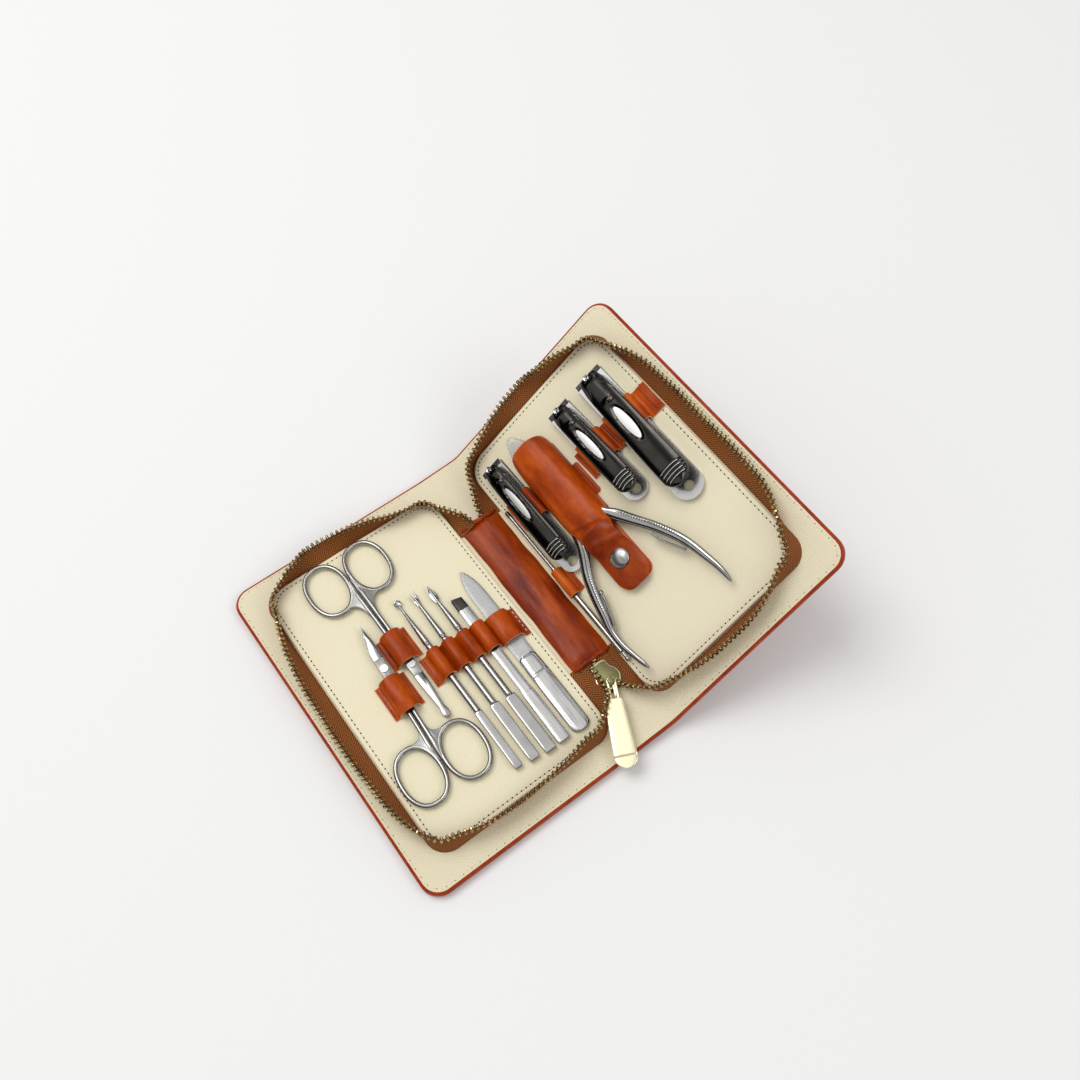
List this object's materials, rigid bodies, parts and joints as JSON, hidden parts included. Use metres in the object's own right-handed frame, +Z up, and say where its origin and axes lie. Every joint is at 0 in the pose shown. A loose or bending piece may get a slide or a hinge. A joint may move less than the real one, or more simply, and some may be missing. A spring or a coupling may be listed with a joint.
{
  "type": "manicure set case",
  "caption": "Zip-around leather manicure case lying open on one half, the other half raised, with scissors, nippers, clippers and slim steel tools held in leather loops.",
  "frame": {"origin": "middle of the left half's underside, on the table", "axes": "+X from the left half across the spine to the raised right half; +Y along the spine, away from the zip slider; +Z up"},
  "size_m": [0.217, 0.1725, 0.0708],
  "materials": {
    "outer_leather": "smooth red-brown leather, satin",
    "stiffener_board": "grey stiffener board, hidden",
    "cream_twill": "cream diagonal twill cloth",
    "strap_leather": "orange-brown leather, satin",
    "zip_tape": "brown herringbone woven tape",
    "zip_teeth": "antique brass",
    "pale_gold": "pale gold plate, polished",
    "polished_steel": "polished steel with a fine brushed grain",
    "dark_chrome": "dark mirror chrome",
    "clear_plastic": "clear plastic"
  },
  "bodies": {
    "left_half": {"cover_left": "outer_leather", "board_left": "stiffener_board", "lining_left": "cream_twill", "panel_left": "cream_twill", "zip_tape_left": "zip_tape", "zip_teeth_left": "zip_teeth", "blunt_loop": "strap_leather", "pointed_loop": "strap_leather", "stick_loops": "strap_leather"},
    "spine": {"cover_spine": "outer_leather", "lining_spine": "cream_twill", "spine_leather": "strap_leather", "zip_chain": "zip_tape"},
    "right_half": {"cover_right": "outer_leather", "board_right": "stiffener_board", "lining_right": "cream_twill", "panel_right": "cream_twill", "zip_tape_right": "zip_tape", "zip_teeth_right": "zip_teeth", "needle_loop": "strap_leather", "strap_small": "strap_leather", "strap_pair": "strap_leather", "nipper_sheath": "strap_leather", "snap_stud": "polished_steel"},
    "slider": {"zip_slider": "pale_gold"},
    "link": {"zip_link": "pale_gold"},
    "pull_tab": {"zip_pull": "pale_gold"},
    "flap": {"sheath_flap": "strap_leather", "snap_cap": "polished_steel"},
    "blunt_scissors": {"blunt_lower": "polished_steel", "blunt_screw": "polished_steel"},
    "blunt_scissors_half": {"blunt_upper": "polished_steel"},
    "pointed_scissors": {"pointed_lower": "polished_steel", "pointed_screw": "polished_steel"},
    "pointed_scissors_half": {"pointed_upper": "polished_steel"},
    "ear_pick": {"ear_pick": "polished_steel"},
    "cuticle_fork": {"cuticle_fork": "polished_steel"},
    "cuticle_knife": {"cuticle_knife": "polished_steel"},
    "tweezers": {"tweezer_lower": "polished_steel"},
    "tweezers_leg": {"tweezer_upper": "polished_steel"},
    "nail_file": {"nail_file": "polished_steel"},
    "needle": {"needle": "polished_steel"},
    "nippers": {"nipper_lower": "polished_steel", "nipper_rivet": "polished_steel", "spring_lower": "polished_steel"},
    "nippers_half": {"nipper_upper": "polished_steel", "spring_upper": "polished_steel"},
    "guard": {"tip_guard": "clear_plastic"},
    "small_clipper": {"small_lower_arm": "polished_steel"},
    "small_upper": {"small_upper_arm": "polished_steel"},
    "small_post": {"small_post": "polished_steel"},
    "small_lever": {"small_lever": "dark_chrome"},
    "medium_clipper": {"medium_lower_arm": "polished_steel"},
    "medium_upper": {"medium_upper_arm": "polished_steel"},
    "medium_post": {"medium_post": "polished_steel"},
    "medium_lever": {"medium_lever": "dark_chrome"},
    "large_clipper": {"large_lower_arm": "polished_steel"},
    "large_upper": {"large_upper_arm": "polished_steel"},
    "large_post": {"large_post": "polished_steel"},
    "large_lever": {"large_lever": "dark_chrome"}
  },
  "joints": [
    {"name": "spine_fold_left", "type": "hinge", "parent": "left_half", "child": "spine", "pos_m": [0.053, 0, 0.004], "axis": [0, 1, 0], "range_deg": [-85, 5]},
    {"name": "spine_fold_right", "type": "hinge", "parent": "spine", "child": "right_half", "pos_m": [0.07492, 0, 0.00592], "axis": [0, 1, 0], "range_deg": [-60, 30]},
    {"name": "slider_travel", "type": "slide", "parent": "spine", "child": "slider", "axis": [0, 1, 0], "range_m": [0, 0.003]},
    {"name": "link_swing", "type": "hinge", "parent": "slider", "child": "link", "pos_m": [0.0636, -0.0544, 0.00907], "axis": [-0.0872, 0, 0.9962], "range_deg": [-2, 26.5]},
    {"name": "tab_lift", "type": "hinge", "parent": "link", "child": "pull_tab", "pos_m": [0.05941, -0.06294, 0.00921], "axis": [-0.8954, 0.4384, -0.0783], "range_deg": [0, 140]},
    {"name": "flap_lift", "type": "hinge", "parent": "right_half", "child": "flap", "pos_m": [0.09421, -0.0002, 0.03432], "axis": [-0.8192, 0, -0.5736], "range_deg": [0, 110]},
    {"name": "blunt_scissors_slide", "type": "slide", "parent": "left_half", "child": "blunt_scissors", "axis": [0, 1, 0], "range_m": [0, 0.0025]},
    {"name": "blunt_scissors_open", "type": "hinge", "parent": "blunt_scissors", "child": "blunt_scissors_half", "pos_m": [-0.003, 0.005, 0.0066], "axis": [0, 0, -1], "range_deg": [0, 4]},
    {"name": "pointed_scissors_slide", "type": "slide", "parent": "left_half", "child": "pointed_scissors", "axis": [-0.0541, -0.9985, 0], "range_m": [0, 0.009]},
    {"name": "pointed_scissors_open", "type": "hinge", "parent": "pointed_scissors", "child": "pointed_scissors_half", "pos_m": [-0.014, 0.0104, 0.0066], "axis": [0, 0, -1], "range_deg": [0, 2.5]},
    {"name": "ear_pick_slide", "type": "slide", "parent": "left_half", "child": "ear_pick", "axis": [0, -1, 0], "range_m": [0, 0.008]},
    {"name": "cuticle_fork_slide", "type": "slide", "parent": "left_half", "child": "cuticle_fork", "axis": [0, -1, 0], "range_m": [0, 0.008]},
    {"name": "cuticle_knife_slide", "type": "slide", "parent": "left_half", "child": "cuticle_knife", "axis": [0, -1, 0], "range_m": [0, 0.008]},
    {"name": "tweezers_slide", "type": "slide", "parent": "left_half", "child": "tweezers", "axis": [0, -1, 0], "range_m": [0, 0.007]},
    {"name": "tweezers_squeeze", "type": "hinge", "parent": "tweezers", "child": "tweezers_leg", "pos_m": [0.0312, -0.0531, 0.0085], "axis": [-1, 0, 0], "range_deg": [0, 0.6], "stiffness_Nm_per_rad": 3},
    {"name": "nail_file_slide", "type": "slide", "parent": "left_half", "child": "nail_file", "axis": [0, -1, 0], "range_m": [0, 0.0055]},
    {"name": "needle_slide", "type": "slide", "parent": "right_half", "child": "needle", "axis": [0, -1, 0], "range_m": [0, 0.01]},
    {"name": "small_clipper_slide", "type": "slide", "parent": "right_half", "child": "small_clipper", "axis": [-0.0086, 0.9999, -0.006], "range_m": [0, 0.007]},
    {"name": "small_clipper_squeeze", "type": "hinge", "parent": "small_clipper", "child": "small_upper", "pos_m": [0.08395, 0.005, 0.01703], "axis": [-0.8191, -0.0105, -0.5735], "range_deg": [0, 1.2], "stiffness_Nm_per_rad": 4},
    {"name": "small_post_swivel", "type": "hinge", "parent": "small_clipper", "child": "small_post", "pos_m": [0.08424, 0.06, 0.01562], "axis": [0.5736, 0, -0.8192], "range_deg": [0, 4]},
    {"name": "small_lever_lift", "type": "hinge", "parent": "small_post", "child": "small_lever", "pos_m": [0.07991, 0.06, 0.0218], "axis": [-0.8191, -0.0105, -0.5735], "range_deg": [0, 75]},
    {"name": "medium_clipper_slide", "type": "slide", "parent": "right_half", "child": "medium_clipper", "axis": [-0.0314, 0.9993, -0.022], "range_m": [0, 0.012]},
    {"name": "medium_clipper_squeeze", "type": "hinge", "parent": "medium_clipper", "child": "medium_upper", "pos_m": [0.12052, 0.00694, 0.04264], "axis": [-0.8185, -0.0384, -0.5732], "range_deg": [0, 1.5], "stiffness_Nm_per_rad": 4},
    {"name": "medium_post_swivel", "type": "hinge", "parent": "medium_clipper", "child": "medium_post", "pos_m": [0.11979, 0.0544, 0.04051], "axis": [0.5736, 0, -0.8192], "range_deg": [0, 4]},
    {"name": "medium_lever_lift", "type": "hinge", "parent": "medium_post", "child": "medium_lever", "pos_m": [0.11546, 0.0544, 0.0467], "axis": [-0.8185, -0.0384, -0.5732], "range_deg": [0, 75]},
    {"name": "large_clipper_slide", "type": "slide", "parent": "right_half", "child": "large_clipper", "axis": [0, 1, 0], "range_m": [0, 0.012]},
    {"name": "large_clipper_squeeze", "type": "hinge", "parent": "large_clipper", "child": "large_upper", "pos_m": [0.13574, -0.0111, 0.0533], "axis": [-0.8192, 0, -0.5736], "range_deg": [0, 1], "stiffness_Nm_per_rad": 4},
    {"name": "large_post_swivel", "type": "hinge", "parent": "large_clipper", "child": "large_post", "pos_m": [0.1365, 0.0544, 0.05221], "axis": [-0.5736, 0, 0.8192], "range_deg": [0, 4]},
    {"name": "large_lever_lift", "type": "hinge", "parent": "large_post", "child": "large_lever", "pos_m": [0.13217, 0.0544, 0.0584], "axis": [-0.8192, 0, -0.5736], "range_deg": [0, 75]},
    {"name": "nippers_slide", "type": "slide", "parent": "right_half", "child": "nippers", "axis": [0, -1, 0], "range_m": [0, 0.0065]},
    {"name": "nippers_close", "type": "hinge", "parent": "nippers", "child": "nippers_half", "pos_m": [0.09772, 0.034, 0.02862], "axis": [0.5736, 0, -0.8192], "range_deg": [0, 6], "stiffness_Nm_per_rad": 0.5},
    {"name": "guard_slide", "type": "slide", "parent": "nippers", "child": "guard", "axis": [-0.0714, 0.9962, -0.05], "range_m": [0, 0.008]}
  ],
  "couplings": [
    {"joint": "link_swing", "follows": "spine_fold_left", "ratio": -0.3}
  ]
}
